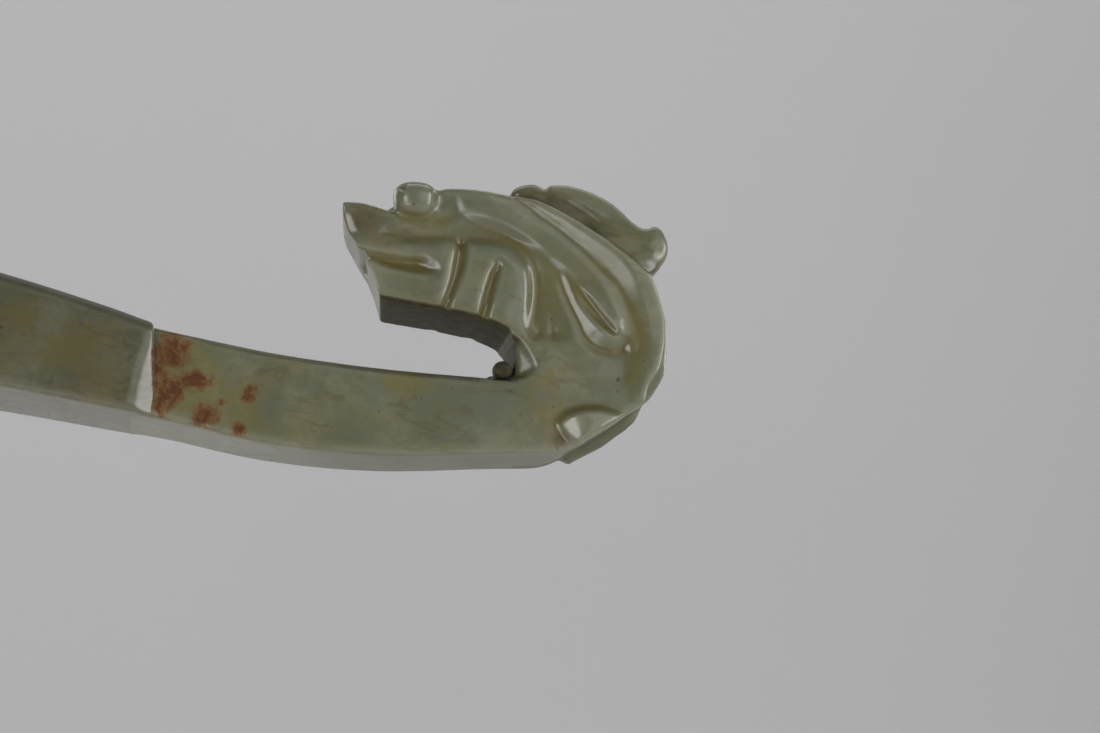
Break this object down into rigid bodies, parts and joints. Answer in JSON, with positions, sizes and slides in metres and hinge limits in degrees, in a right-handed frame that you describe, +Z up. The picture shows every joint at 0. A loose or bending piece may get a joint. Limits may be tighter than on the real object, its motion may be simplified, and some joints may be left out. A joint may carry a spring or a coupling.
{
  "type": "jade belt hook",
  "caption": "Arched belt hook carved from nephrite: a dragon's head turned back as the hook, and a round button on a stem beneath.",
  "frame": {"origin": "centre of the belt button's lower face, on the plane that the button and the neck rest on", "axes": "+X along the shaft towards the dragon's head, +Z up from the button to the shaft, -Y is the dragon's left side"},
  "size_m": [0.1074, 0.017, 0.0256],
  "materials": {
    "shaft_jade": "polished celadon nephrite, cloudy and slightly translucent, with rust stains behind the shoulder",
    "head_jade": "polished celadon nephrite with olive recesses",
    "relief_jade": "bright polished celadon nephrite on the raised carving",
    "recess_jade": "darker olive nephrite, less polished"
  },
  "bodies": {
    "root": {"shaft_body": "shaft_jade", "shaft_neck": "shaft_jade", "belt_button": "shaft_jade", "button_stem": "shaft_jade", "dragon_head": "head_jade", "throat_bead": "recess_jade", "cheek_left": "head_jade", "brow_left": "relief_jade", "mane_left": "relief_jade", "ear_left": "relief_jade", "eye_left": "relief_jade", "horn_left": "relief_jade", "cheek_right": "head_jade", "brow_right": "relief_jade", "mane_right": "relief_jade", "ear_right": "relief_jade", "eye_right": "relief_jade", "horn_right": "relief_jade"}
  },
  "joints": []
}
